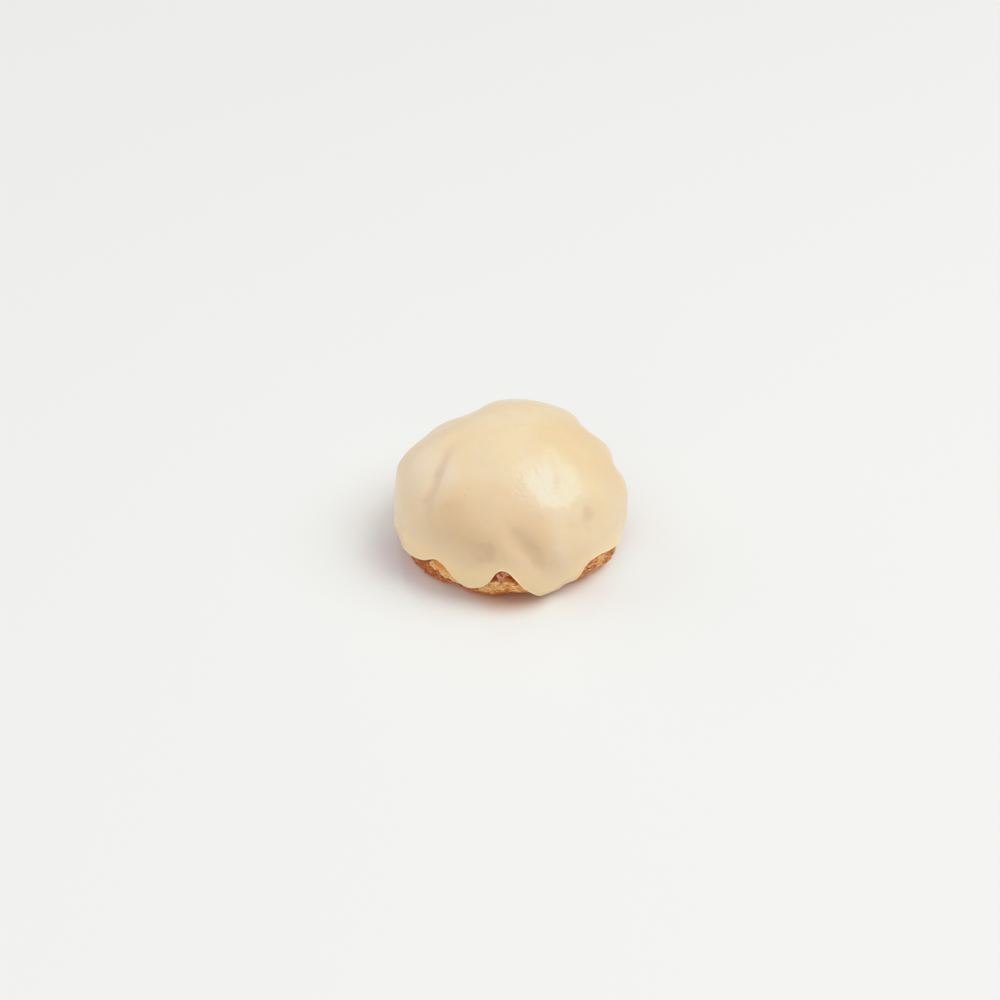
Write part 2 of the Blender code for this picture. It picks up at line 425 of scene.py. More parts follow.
# Small lumps of the crust, higher in the torn patches and in the open crumb
LUMP_SPACING = 1.5 * MM
FINE_LUMPS = 0.6
FINE_LUMP_SPACING = 0.7 * MM
LUMP_HEIGHT = 0.06 * MM
LUMP_HEIGHT_TORN = 0.07 * MM
LUMP_HEIGHT_CRUMB = 0.06 * MM

# Where the bare crust starts, where a painted shadow lies on it below the hem, and where its foot tints it:
# degrees and millimetres
BARE_EDGE = 1.0
HEM_SHADOW_DROPS_MM = (1.9, 0.8)
FOOT_HEIGHTS_MM = (3.6, 1.2)
FOOT_UNEVEN_MM = 0.8
FOOT_SPACING = 3.0 * MM
UNDERSIDE_ELEVATIONS = (-20.0, -28.0)

# Mesh fineness
FRONT_CROWDING = 0.3
ICING_SEGMENTS = 400
FACE_RINGS = 188
CAP_RINGS = 12
LINING_RINGS = 22
CRUST_SEGMENTS = 720
COVERED_RINGS = 10
BARE_RINGS = 112
UNDERSIDE_RINGS = 6
COVERED_MARGIN = 1.5
FOOT_ELEVATION = -31.0
LOWEST_ELEVATION = -40.0
WELD = 0.01 * MM

# The photograph's view: a long lens looking down on the front. Degrees and metres, and millimetres for the
# lens and its sensor
CAMERA_SLOPE = 37.0
CAMERA_DISTANCE = 0.754
CAMERA_LENS = 85.0
SENSOR_WIDTH = 36.0
FRAME_WIDTH_PX = 1000
AIM_HEIGHT = 21.0 * MM
AIM_RIGHT_PX = 11
AIM_UP_PX = 16
NEAREST_SEEN = 0.01
FARTHEST_SEEN = 20.0

# Light of the studio's sky low down, overhead (from a height on the unit sphere) and as the gloss mirrors it
HORIZON_LIGHT = 0.18
ZENITH_LIGHT = 0.65
OVERHEAD = 0.9
GLOSS_LIGHT = 0.5

# Soft round lamps: name, azimuth, elevation, distance and width in metres, watts, colour
LAMPS = (
    ("key", 86, 54, 2.0, 1.75, 24.7, (1, 0.993, 0.965)),
    ("side_fill", -112, 25, 2.0, 2.2, 9.3, (0.98, 0.98, 1)),
    ("front_fill", -20, 30, 2.0, 2.0, 7.2, (1, 0.98, 0.94)),
)

# The floor, a hair below the base
FLOOR_HALF_WIDTH = 4.0
FLOOR_DROP = 0.02 * MM
FLOOR_ROUGHNESS = 0.16
FLOOR_COLOUR = (0.90, 0.912, 0.893)

# Shade painted on the floor close to the foot: a warm painted shadow in front, a rosy painted shadow at the
# left and a cooler tint at the right painted against the cake's warm light there. Colour, middle, and the
# radii where each starts to fade and where it ends, in millimetres
PAINTED_FLOOR_SHADES = (
    ((0.76, 0.57, 0.45), (-1.0, -27.0), 4.0, 17.0),
    ((0.835, 0.795, 0.815), (-36.0, -12.0), 4.0, 19.0),
    ((0.90, 0.960, 0.950), (34.0, -15.0), 4.0, 17.0),
)

# How the brightest light is shown: scene value and shown value
SHOULDER = ((0.70, 0.70), (0.85, 0.82))
WHITE_SHOWN = 0.905

# Colours of the icing
CREAMY = (0.88, 0.680, 0.445)
BUTTERY = (0.88, 0.660, 0.395)

# What tints the icing, in turn over one another: mask or pattern, range (none: as it is), strength, colour
ICING_TINTS = (
    ("broad", (0.38, 0.62), 1.0, BUTTERY),
    # Painted shade: the low face darker and warmer
    ("low", (0.0, 1.0), 0.8, (0.87, 0.650, 0.405)),
    # Painted: deeper yellow on the right side, holding back the sheen there
    ("less_sheen", (0.0, 1.0), 0.85, (0.87, 0.615, 0.335)),
    # Painted sheen and highlight: paler spots
    ("painted_sheen", None, 1.0, (0.885, 0.690, 0.490)),
    # The crust showing through thin icing, with painted shade over the low middle
    ("thin_and_shade", (0.0, 1.0), 0.58, (0.75, 0.500, 0.260)),
    # Painted shade in the hollows of the face
    ("hollow_shade", (0.1, 1.0), 0.5, (0.66, 0.445, 0.285)),
    # Painted light on the drips
    ("drip_light", None, 1.0, (1.0, 0.710, 0.390)),
    # Painted highlight along the rim of the hem
    ("rim_light", (0.2, 0.8), 1.0, (1.0, 0.760, 0.480)),
    # Painted shade on the underside of the hem
    ("tuck_shade", None, 1.0, (0.80, 0.42, 0.17)),
    ("pinholes", (0.0, 1.0), 0.4, (0.60, 0.36, 0.18)),
)
ICING_FINISH = {
    "Subsurface Weight": 0.4,
    "Subsurface Radius": (1.0, 0.6, 0.35),
    "Subsurface Scale": 0.8 * MM,
    "IOR": 1.45,
    "Coat Weight": 0.45,
    "Coat Roughness": 0.26,
    "Coat IOR": 1.5,
}

# Colours of the crust
BROWN = (0.40, 0.082, 0.016)
WARM_BROWN = (0.62, 0.180, 0.032)
TOASTED = (0.28, 0.050, 0.013)
DARK = (0.13, 0.022, 0.008)
CREASED_BROWN = (0.70, 0.250, 0.082)
AMBER = (0.92, 0.300, 0.045)
GOLDEN = (0.97, 0.395, 0.095)
HONEY = (0.80, 0.300, 0.060)
STRAW = (1.0, 0.580, 0.225)
CREAM = (1.0, 0.760, 0.440)
PINK = (0.76, 0.320, 0.185)

# What tints the open crumb, the torn patches and the skin, as for the icing
CRUMB_TINTS = (
    ("patchy", (0.40, 0.68), 1.0, GOLDEN),
)
TORN_TINTS = (
    ("deep", None, 1.0, HONEY),
    ("fine", (0.5, 0.35), 0.6, AMBER),
    ("specks", (0.48, 0.36), 0.6, WARM_BROWN),
    ("specks", (0.54, 0.66), 0.6, CREAM),
)
SKIN_TINTS = (
    ("patchy", (0.38, 0.66), 1.0, WARM_BROWN),
    ("creased", (0.2, 1.0), 0.85, CREASED_BROWN),
    ("crumb", (0.1, 0.9), 0.85, "open crumb"),
    ("foot", (0.0, 1.0), 0.8, AMBER),
    ("streaks", (0.05, 0.45), 0.7, CREAM),
    ("streaks", (-0.08, -0.45), 0.7, TOASTED),
    ("underside", (0.0, 1.0), 0.85, AMBER),
    ("glazed", (0.3, 0.9), 0.8, PINK),
    ("specks", (0.46, 0.36), 0.6, TOASTED),
    ("specks", (0.56, 0.68), 0.4, CREAM),
    ("torn", None, 1.0, "torn patch"),
    ("pits", (0.1, 0.8), 0.8, DARK),
    ("lip", (0.2, 0.8), 1.0, CREAM),
    # Cracks, with painted shadow under the lifted lips
    ("cracks_and_lip_shadow", (0.1, 0.8), 0.85, TOASTED),
    # Painted shadow below the hem
    ("hem_shadow", (0.0, 1.0), 0.75, TOASTED),
)
CRUST_FINISH = {
    "Subsurface Weight": 0.1,
    "Subsurface Radius": (1.0, 0.4, 0.2),
    "Subsurface Scale": 0.6 * MM,
}

# Roughness of the icing over a range of its grain, and roughness and shine of the crust from plain to glazed
GRAIN_RANGE = (0.3, 0.7)
ICING_ROUGHNESS = (0.35, 0.45)
GLAZE_RANGE = (0.2, 0.9)
CRUST_ROUGHNESS = (0.5, 0.22)
CRUST_SHINE = (0.10, 0.5)

# Spacings of the materials' patterns, with relief and strength where they also roughen the surface
BROAD_SPACING = 11 * MM
ICING_GRAIN = (1.4 * MM, 0.03 * MM, 0.25)
PINHOLE_SPACING = 6 * MM
PINHOLE_RADIUS = (0.05, 0.025)
PINHOLE_CHOICE = (0.45, 0.5)
CRUST_GRAIN = (0.5 * MM, 0.12 * MM, 0.7)
SPECK_SPACING = 0.75 * MM
PATCH_SPACING = 2.6 * MM
PATTERN_DETAIL = 4.0
PATTERN_ROUGHNESS = 0.6

# Places of the sockets in Blender's mix node, and of the curve that shades all colours alike
MIX_FACTOR = 0
MIX_NUMBERS = (2, 3)
MIXED_NUMBER = 0
MIX_COLOURS = (6, 7)
MIXED_COLOUR = 2
COMBINED_CURVE = 3

# Tables of the gradient noise, and what brings its values to about -1 to 1
TABLE = 256
NOISE_GAIN = 1.6
SHUFFLE = np.random.default_rng(5).permutation(TABLE)
PULLS = np.random.default_rng(6).normal(size=(TABLE, 3))
PULLS /= np.linalg.norm(PULLS, axis=1)[:, None]
JITTER = np.random.default_rng(7).random((TABLE, 3))


def heading(azimuth, elevation):
    """Unit vectors from the heart, as rows."""
    a = np.radians(azimuth)
    e = np.radians(elevation)
    return np.stack([np.sin(a) * np.cos(e), -np.cos(a) * np.cos(e), np.sin(e)], -1)


def smooth(value):
    """Rises smoothly from 0 to 1 as the value does."""
    t = np.clip(value, 0, 1)
    return t * t * (3 - 2 * t)


def ramp(value, start, full):
    """0 where the value is at its start, 1 where it is full, and smooth between."""
    return smooth((value - start) / (full - start))


def peak(value, middle, width):
    """1 where the value is at the middle, falling to 0 on both sides."""
    return np.exp(-((value - middle) / width) ** 2)


def lattice(corner, seed):
    """A repeatable number for each corner of the noise lattice."""
    x, y, z = (corner % TABLE).T
    return SHUFFLE[(SHUFFLE[(SHUFFLE[(x + seed) % TABLE] + y) % TABLE] + z) % TABLE]


def cloud(points, spacing, seed):
    """Soft noise from about -1 to 1 at each point, with bumps a spacing apart."""
    place = points / spacing
    corner = np.floor(place).astype(int)
    inside = place - corner
    fade = inside ** 3 * (inside * (inside * 6 - 15) + 10)
    total = np.zeros(len(points))
    for step in itertools.product((0, 1), repeat=3):
        weight = np.prod(np.where(step, fade, 1 - fade), axis=1)
        total += weight * np.sum(PULLS[lattice(corner + step, seed)] * (inside - step), axis=1)
    return total * NOISE_GAIN


def cells(points, spacing, seed):
    """Distance to the nearest cell's middle, and how much farther the next one is, in spacings."""
    place = points / spacing
    corner = np.floor(place).astype(int)
    nearest = np.full(len(points), np.inf)
    second = np.full(len(points), np.inf)
    for step in itertools.product((-1, 0, 1), repeat=3):
        middle = corner + step + JITTER[lattice(corner + step, seed)]
        away = np.linalg.norm(place - middle, axis=1)
        second = np.minimum(second, np.maximum(nearest, away))
        nearest = np.minimum(nearest, away)
    return nearest, second - nearest


def plain_radius(elevation):
    """Distance from the heart to the bun without its lobes."""
    e = np.radians(elevation)
    half = np.where(e > 0, UPPER_HALF, LOWER_HALF)
    fullness = np.where(e > 0, UPPER_FULLNESS, LOWER_FULLNESS)
    level = (np.abs(np.cos(e)) / CRUST_RADIUS) ** fullness + (np.abs(np.sin(e)) / half) ** fullness
    return level ** (-1 / fullness)


def spots(direction, table):
    """Each spot's closeness, from 1 at its middle to 0 far away, as columns."""
    columns = []
    for azimuth, elevation, spread in table:
        away = 1 - direction @ heading(azimuth, elevation)
        columns.append(np.exp(-away / (1 - math.cos(math.radians(spread)))))
    return np.stack(columns, -1)


def cover(direction, table):
    """1 on the listed spots, 0 far from them."""
    return np.clip(spots(direction, table).sum(1), 0, 1)


def lobes(direction, table):
    """Rise of rounded lobes and hollows, in metres."""
    heights = np.array([height for *_, height in table]) * MM
    return spots(direction, [entry[:3] for entry in table]) @ heights


def furrows(direction, table):
    """Depth of lines that change in width and depth along their course, in metres."""
    depth = np.zeros(len(direction))
    for line in table:
        for (*start, start_width, start_depth), (*end, end_width, end_depth) in zip(line, line[1:]):
            a = heading(*start)
            b = heading(*end)
            along = np.clip((direction - a) @ (b - a) / ((b - a) @ (b - a)), 0, 1)
            width = np.radians(start_width + (end_width - start_width) * along)
            deepest = (start_depth + (end_depth - start_depth) * along) * MM
            away = np.linalg.norm(direction - a - along[:, None] * (b - a), axis=1) / width
            depth = np.maximum(depth, deepest * np.exp(-away * away))
    return depth


def hem_drop(azimuth):
    """Drop of the hem below the girth, on a smooth curve that is level where a drip or an arch turns."""
    starts = np.array([station for station, _ in HEM], float)
    drops = np.array([drop for _, drop in HEM], float)
    spans = (np.roll(starts, -1) - starts) % 360
    after = (np.roll(drops, -1) - drops) / spans
    before = np.roll(after, 1)
    onward = before * after > 0
    slopes = np.where(onward, 2 * before * after / np.where(onward, before + after, 1), 0)
    turn = (azimuth - starts[0]) % 360
    here = np.searchsorted(starts - starts[0], turn, side="right") - 1
    there = (here + 1) % len(starts)
    share = (turn - (starts[here] - starts[0])) / spans[here]
    bend = (1 - share) * slopes[here] - share * slopes[there]
    curve = drops[here] + (drops[there] - drops[here]) * smooth(share)
    return (curve + spans[here] * share * (1 - share) * bend) * MM


def hem_elevation(azimuth):
    return -np.degrees(np.arcsin(hem_drop(azimuth) / GIRTH_RADIUS))


def settled(height):
    """Height after the dough has flattened on its tray, with a small round at the edge."""
    rounded = (height + BASE_ROUNDING) ** 2 / (4 * BASE_ROUNDING)
    return np.where(height >= BASE_ROUNDING, height, np.where(height <= -BASE_ROUNDING, 0, rounded))


def crust_radius(azimuth, elevation):
    """Distance from the heart to the crust where icing covers it."""
    direction = heading(azimuth, elevation)
    return plain_radius(elevation) + lobes(direction, LOBES) - furrows(direction, FURROWS)


def from_heart(azimuth, elevation, radius):
    return heading(azimuth, elevation) * radius[:, None] + np.array([0, 0, GIRTH_HEIGHT])


def ball(name, segments, rings):
    """A fine unit sphere wrapped from a grid, with the azimuth of each vertex and its ring from the top."""
    made = bmesh.new()
    bmesh.ops.create_grid(made, x_segments=segments, y_segments=rings, size=1)
    for vertex in made.verts:
        turn = math.pi * vertex.co.x
        rise = math.pi / 2 * vertex.co.y
        vertex.co = (math.sin(turn) * math.cos(rise), -math.cos(turn) * math.cos(rise), math.sin(rise))
    edge = [vertex for vertex in made.verts if vertex.is_boundary]
    bmesh.ops.remove_doubles(made, verts=edge, dist=WELD)
    mesh = bpy.data.meshes.new(name)
    made.to_mesh(mesh)
    made.free()
    place = np.empty(len(mesh.vertices) * 3)
    mesh.vertices.foreach_get("co", place)
    x, y, z = place.reshape(-1, 3).T
    turn = np.arctan2(x, -y)
    azimuth = np.degrees(turn - FRONT_CROWDING * np.sin(turn))
    ring = np.rint(np.arccos(np.clip(z, -1, 1)) / math.pi * rings)
    return mesh, azimuth, ring


def finish_mesh(mesh, place, masks, material):
    """Moves the vertices into place, stores the masks that the material reads, and makes the object."""
    mesh.vertices.foreach_set("co", place.astype(np.float32).ravel())
    mesh.shade_smooth()
    for name, values in masks.items():
        attribute = mesh.attributes.new(name, "FLOAT", "POINT")
        attribute.data.foreach_set("value", values.astype(np.float32))
    mesh.materials.append(material)
    mesh.update()
    piece = bpy.data.objects.new(mesh.name, mesh)
    bpy.context.scene.collection.objects.link(piece)
    return piece


def face_forms(azimuth, elevation):
    """Placed bumps, dents, folds and ridges of the poured face, with uneven outlines, in metres."""
    place = heading(azimuth, elevation) * GIRTH_RADIUS
    azimuth = azimuth + WANDER * cloud(place, WANDER_SPACING, 30)
    elevation = elevation + WANDER * cloud(place, WANDER_SPACING, 31)
    direction = heading(azimuth, elevation)
    return lobes(direction, DENTS) + furrows(direction, RIDGES) - furrows(direction, FOLDS)


def icing_relief(azimuth, elevation):
    """Unevenness of the poured face, in metres outwards."""
    direction = heading(azimuth, elevation)
    place = direction * GIRTH_RADIUS
    low = ramp(elevation, *WAVY_FACE)
    around = azimuth * MM_PER_DEGREE / FLOW_WIDTH_MM
    up = elevation * MM_PER_DEGREE / FLOW_LENGTH_MM
    flow = np.stack([around, up, np.zeros(len(around))], -1)
    wrinkled = cover(direction, WRINKLES)
    ridges = 1 - np.abs(cloud(place, WRINKLE_SPACING, 5))
    relief = face_forms(azimuth, elevation)
    relief += SWELL_HEIGHT * cloud(place, SWELL_SPACING, 1)
    relief += (WAVE_HEIGHT + WAVE_HEIGHT_LOW * low) * cloud(place, WAVE_SPACING, 2)
    relief += RIPPLE_HEIGHT * cloud(place, RIPPLE_SPACING, 3)
    relief += FLOW_HEIGHT * low * cloud(flow, 1, 4)
    relief += WRINKLE_HEIGHT * wrinkled * (ridges - WRINKLE_LEVEL)
    relief += (GRAIN_HEIGHT + GRAIN_HEIGHT_WRINKLED * wrinkled) * cloud(place, GRAIN_SPACING, 33)
    return relief


def icing_rows(azimuth, ring):
    """Elevation of each vertex of the icing and its share of the thickness, down the face and back inside."""
    hem = hem_elevation(azimuth)
    turn = math.pi * np.clip((ring - FACE_RINGS) / CAP_RINGS, 0, 1)
    top = hem + math.degrees(CAP_HEIGHT / GIRTH_RADIUS)
    back = (ring - FACE_RINGS - CAP_RINGS) / LINING_RINGS
    on_face = 90 + (top - 90) * ring / FACE_RINGS
    on_cap = top - (top - hem) * np.sin(turn)
    on_lining = top + (90 - top) * back
    elevation = np.where(ring <= FACE_RINGS, on_face, np.where(back <= 0, on_cap, on_lining))
    share = np.where(back > 0, 0, (1 + np.cos(turn)) / 2)
    return elevation, share


def icing_marks(direction, elevation, above_hem, share, hollow_shade):
    """Masks from 0 to 1 of what tints the icing: painted light on the rim, drips and sheen spots, painted
    shade in hollows, on the low face and under the hem, and the crust showing through thin icing with painted
    shade there too.
    """
    uneven = 1 + UNEVEN_TINT * cloud(direction * GIRTH_RADIUS, UNEVEN_SPACING, 32)
    return {
        "rim_light": peak(above_hem, RIM_HEIGHT, RIM_WIDTH),
        "hollow_shade": smooth(hollow_shade * uneven),
        "thin_and_shade": 1 - np.exp(-spots(direction, THIN_AND_SHADED).sum(1) * uneven),
        "less_sheen": cover(direction, LESS_SHEEN),
        "painted_sheen": cover(direction, SHEEN_SPOTS),
        "drip_light": ramp(elevation, *DRIP_ELEVATIONS) * ramp(above_hem, *DRIP_HEIGHTS),
        "low": ramp(elevation, *SHADED_LOW_FACE),
        "tuck_shade": ramp(share, *TUCKED_SHARES),
    }


def poured_icing(material):
    """The poured face, its rounded hem and its lining over the crust, in one closed skin."""
    mesh, azimuth, ring = ball("poured_icing", ICING_SEGMENTS, FACE_RINGS + CAP_RINGS + LINING_RINGS)
    elevation, share = icing_rows(azimuth, ring)
    direction = heading(azimuth, elevation)
    above_hem = np.radians(elevation - hem_elevation(azimuth)) * GIRTH_RADIUS
    depth = furrows(direction, FURROWS)
    bead = BEAD_RISE * peak(above_hem, BEAD_HEIGHT, BEAD_WIDTH)
    thickness = ICING_THICKNESS + SEAT_GAP - VISIBLE_GAP + bead + depth * (1 - FURROW_LEFT_IN_ICING)
    thickness += icing_relief(azimuth, elevation)
    lining = crust_radius(azimuth, elevation) + VISIBLE_GAP
    place = from_heart(azimuth, elevation, lining + share * thickness)
    # Painted shade: how deeply the face is furrowed or dented here
    hollow_shade = depth / FULL_FURROW - face_forms(azimuth, elevation) / FULL_DENT
    marks = icing_marks(direction, elevation, above_hem, share, hollow_shade)
    return finish_mesh(mesh, place, marks, material)


def crag_depth(azimuth, elevation):
    """Depth of the broken crust below its full level, as in the part's source."""
    direction = heading(azimuth, elevation)
    rough = np.empty(len(azimuth))
    for index, place in enumerate((direction * (GIRTH_RADIUS / CRAG_SPACING)).tolist()):
        rough[index] = 0.5 + BROAD_CRAGS * noise.noise(place) + FINE_CRAGS * noise.noise(Vector(place) * 2)
    flaked = np.zeros(len(azimuth))
    for middle_azimuth, middle_elevation, reach in FLAKES:
        away = np.degrees(np.arccos(np.clip(direction @ heading(middle_azimuth, middle_elevation), -1, 1)))
        flaked = np.maximum(flaked, smooth((reach - away) / FLAKE_EDGE + 0.5))
    return CRAG_DEPTH * rough * (1 - flaked)


def inside_patch(azimuth, elevation, corners):
    """Distance from the patch's edge in millimetres, positive inside."""
    middle = np.array(corners).mean(0)
    width = math.cos(math.radians(middle[1]))
    x = ((azimuth - middle[0] + 180) % 360 - 180) * width * MM_PER_DEGREE
    y = (elevation - middle[1]) * MM_PER_DEGREE
    outline = (np.array(corners) - middle) * (width * MM_PER_DEGREE, MM_PER_DEGREE)
    nearest = np.full(len(x), np.inf)
    inside = np.zeros(len(x), bool)
    for (x0, y0), (x1, y1) in zip(outline, np.roll(outline, -1, axis=0)):
        right, up = x1 - x0, y1 - y0
        along = np.clip(((x - x0) * right + (y - y0) * up) / (right ** 2 + up ** 2), 0, 1)
        nearest = np.minimum(nearest, np.hypot(x - x0 - along * right, y - y0 - along * up))
        crosses = (y0 > y) != (y1 > y)
        inside ^= crosses & (x < x0 + (y - y0) * right / (up or 1))
    return np.where(inside, nearest, -nearest)


def point_height(azimuth, elevation):
    """Height of the plain crust above the floor in millimetres."""
    return (GIRTH_HEIGHT + crust_radius(azimuth, elevation) * np.sin(np.radians(elevation))) / MM


def torn_reach(azimuth, elevation, place):
    """Distance from the jagged edge of the torn patches in millimetres, positive inside."""
    jags = JAGS_MM * cloud(place, JAG_SPACING, 14) + FINE_JAGS_MM * cloud(place, FINE_JAG_SPACING, 15)
    return np.max([inside_patch(azimuth, elevation, corners) for corners in TORN_PATCHES], axis=0) + jags


def crumb_mark(direction, place):
    """1 where the crust is baked open, with uneven edges."""
    pitted = np.clip(spots(direction, PITTED).sum(1), 0, CRUMB_MOST)
    return smooth(CRUMB_GAIN * pitted + CRUMB_LEVEL + CRUMB_UNEVEN * cloud(place, CRUMB_SPACING, 28))


def pit_mark(place, torn, crumb):
    """1 in the small pits of the crumb."""
    nearest, _ = cells(place, PIT_SPACING, 19)
    many = PITS_ANYWHERE + PITS_TORN * torn + PITS_CRUMB * crumb + cloud(place, PIT_CLOUD_SPACING, 20)
    return ramp(nearest, PIT_RADIUS, 0) * smooth(many)


def crack_mark(azimuth, elevation, place, within, torn):
    """1 in the placed cracks, under the lifted skin where the shadow of the lip is painted dark, and, weaker,
    in the fine net of cracks.
    """
    warp = np.stack([cloud(place, WARP_SPACING, seed) for seed in (11, 12, 13)], -1)
    _, border = cells(place + warp * WARP, NET_SPACING, 17)
    net = ramp(cloud(place, NET_CLOUD_SPACING, 18), *NET_CLOUDS) * ramp(border, NET_WIDTH, 0)
    around = azimuth + SHAKE_AROUND * cloud(place, SHAKE_SPACING, 27)
    placed = furrows(heading(around, elevation + SHAKE_UP * warp[:, 0]), CRACKS) / CRACK_DEPTH
    # Painted shadow in a groove under the lifted lip
    undercut_shadow = peak(within, UNDERCUT_MIDDLE_MM, UNDERCUT_WIDTH_MM)
    undercut_shadow *= ramp(cloud(place, UNDERCUT_SPACING, 22), *UNDERCUT_CLOUDS)
    return np.clip(net * NET_STRENGTH * (1 - torn) + placed + undercut_shadow, 0, 1)


def streak_mark(azimuth, elevation, place, creased, crumb):
    """Streaks along the foot, from about -1 to 1."""
    around = azimuth * MM_PER_DEGREE
    up = elevation * MM_PER_DEGREE + STREAK_BEND_MM * cloud(place, STREAK_BEND_SPACING, 25)
    lengthways = np.stack([around / STREAK_LENGTH_MM, up / STREAK_WIDTH_MM, np.zeros(len(up))], -1)
    strength = STREAKS_ON_PLAIN_SKIN + (1 - STREAKS_ON_PLAIN_SKIN) * np.maximum(creased, crumb)
    return cloud(lengthways, 1, 16) * strength


def crust_marks(azimuth, elevation, bare):
    """Masks from 0 to 1 of what shows on the bare crust, with painted shadow below the hem and under the
    lifted lips, and its streaks.
    """
    direction = heading(azimuth, elevation)
    place = direction * GIRTH_RADIUS
    within = torn_reach(azimuth, elevation, place)
    torn = ramp(within, *TEAR_EDGE_MM)
    lip = peak(within, LIP_MIDDLE_MM, LIP_WIDTH_MM) * ramp(cloud(place, LIP_SPACING, 21), *LIP_CLOUDS)
    crumb = crumb_mark(direction, place)
    creased = cover(direction, CREASED)
    cracks_and_lip_shadow = crack_mark(azimuth, elevation, place, within, torn)
    drop = (hem_elevation(azimuth) - elevation) * MM_PER_DEGREE
    height = point_height(azimuth, elevation) - FOOT_UNEVEN_MM * cloud(place, FOOT_SPACING, 29)
    return {
        "torn": bare * torn,
        "deep": ramp(within, *DEEP_TEAR_MM),
        "crumb": bare * crumb,
        "lip": bare * lip,
        "cracks_and_lip_shadow": bare * cracks_and_lip_shadow,
        "pits": bare * pit_mark(place, torn, crumb),
        "creased": bare * creased,
        "streaks": bare * streak_mark(azimuth, elevation, place, creased, crumb),
        "glazed": bare * (1 - cracks_and_lip_shadow) * cover(direction, GLAZED),
        # Painted shadow just below the hem
        "hem_shadow": ramp(drop, *HEM_SHADOW_DROPS_MM),
        "foot": ramp(height, *FOOT_HEIGHTS_MM),
        "underside": ramp(elevation, *UNDERSIDE_ELEVATIONS),
    }


def crust_rows(azimuth, ring):
    """Elevation of each vertex of the crust: coarse under the icing, fine where bare, and underneath."""
    margin = hem_elevation(azimuth) + COVERED_MARGIN
    bare_ring = ring - COVERED_RINGS
    under_ring = bare_ring - BARE_RINGS
    covered = 90 + (margin - 90) * ring / COVERED_RINGS
    open_band = margin + (FOOT_ELEVATION - margin) * bare_ring / BARE_RINGS
    under = FOOT_ELEVATION + (LOWEST_ELEVATION - FOOT_ELEVATION) * under_ring / (UNDERSIDE_RINGS - 1)
    return np.where(bare_ring <= 0, covered, np.where(under_ring <= 0, open_band, under))


def crust_relief(azimuth, elevation, below, bare, marks):
    """Rise of the bare crust over its level under the icing, in metres."""
    place = heading(azimuth, elevation) * GIRTH_RADIUS
    lumps = cloud(place, LUMP_SPACING, 23) + FINE_LUMPS * cloud(place, FINE_LUMP_SPACING, 24)
    lump_height = LUMP_HEIGHT + LUMP_HEIGHT_TORN * marks["torn"] + LUMP_HEIGHT_CRUMB * marks["crumb"]
    relief = smooth(below / BARE_FADE) * (BARE_SWELL - crag_depth(azimuth, elevation))
    relief += bare * lump_height * lumps
    relief += (STREAK_HEIGHT + STREAK_HEIGHT_CREASED * marks["creased"]) * marks["streaks"]
    relief += LIP_RISE * marks["lip"] - TEAR_DEPTH * marks["torn"]
    relief -= CRACK_DEPTH * marks["cracks_and_lip_shadow"] + PIT_DEPTH * marks["pits"]
    return relief


def bare_crust(material):
    """The whole bun: plain under the icing, broken and torn where it is bare, and flat underneath."""
    rings = COVERED_RINGS + BARE_RINGS + UNDERSIDE_RINGS
    mesh, azimuth, ring = ball("bare_crust", CRUST_SEGMENTS, rings)
    elevation = crust_rows(azimuth, ring)
    below = hem_elevation(azimuth) - elevation
    bare = smooth(below / BARE_EDGE)
    marks = crust_marks(azimuth, elevation, bare)
    relief = crust_relief(azimuth, elevation, below, bare, marks)
    point = from_heart(azimuth, elevation, crust_radius(azimuth, elevation) + relief)
    point[:, 2] = settled(point[:, 2])
    point[ring == rings] = 0
    return finish_mesh(mesh, point, marks, material)


def new_material(name):
    material = bpy.data.materials.new(name)
    material.use_nodes = True
    return material, material.node_tree, material.node_tree.nodes["Principled BSDF"]


def add_node(tree, kind, **settings):
    made = tree.nodes.new(kind)
    for name, value in settings.items():
        setattr(made, name, value)
    return made


def mask(tree, name):
    """Value of one of the piece's own stored masks."""
    return add_node(tree, "ShaderNodeAttribute", attribute_name=name).outputs["Fac"]


def plug(tree, value, socket):
    """Links a socket, or sets a constant."""
    if isinstance(value, bpy.types.NodeSocket):
        tree.links.new(value, socket)
    elif isinstance(value, tuple):
        socket.default_value = (*value, 1)
    else:
        socket.default_value = value


def blend(tree, factor, first, second):
    """Mixes two colours by a factor."""
    made = add_node(tree, "ShaderNodeMix", data_type="RGBA")
    plug(tree, factor, made.inputs[MIX_FACTOR])
    for colour, place in zip((first, second), MIX_COLOURS):
        plug(tree, colour, made.inputs[place])
    return made.outputs[MIXED_COLOUR]


def spread(tree, value, low, high, to_low=0.0, to_high=1.0):
    """Maps a value's range to another range, smoothly at its ends."""
    made = add_node(tree, "ShaderNodeMapRange", interpolation_type="SMOOTHSTEP")
    plug(tree, value, made.inputs["Value"])
    made.inputs["From Min"].default_value = low
    made.inputs["From Max"].default_value = high
    made.inputs["To Min"].default_value = to_low
    made.inputs["To Max"].default_value = to_high
    return made.outputs["Result"]


def layered(tree, colour, tints, patterns, mixed=None):
    """Lays tints over a colour in turn, each by its mask or pattern. A word names a mixed colour."""
    for source, reach, strength, tint in tints:
        factor = patterns[source] if source in patterns else mask(tree, source)
        if reach:
            factor = spread(tree, factor, *reach, 0.0, strength)
        colour = blend(tree, factor, colour, mixed[tint] if isinstance(tint, str) else tint)
    return colour


def set_finish(shader, finish):
    for name, value in finish.items():
        shader.inputs[name].default_value = value


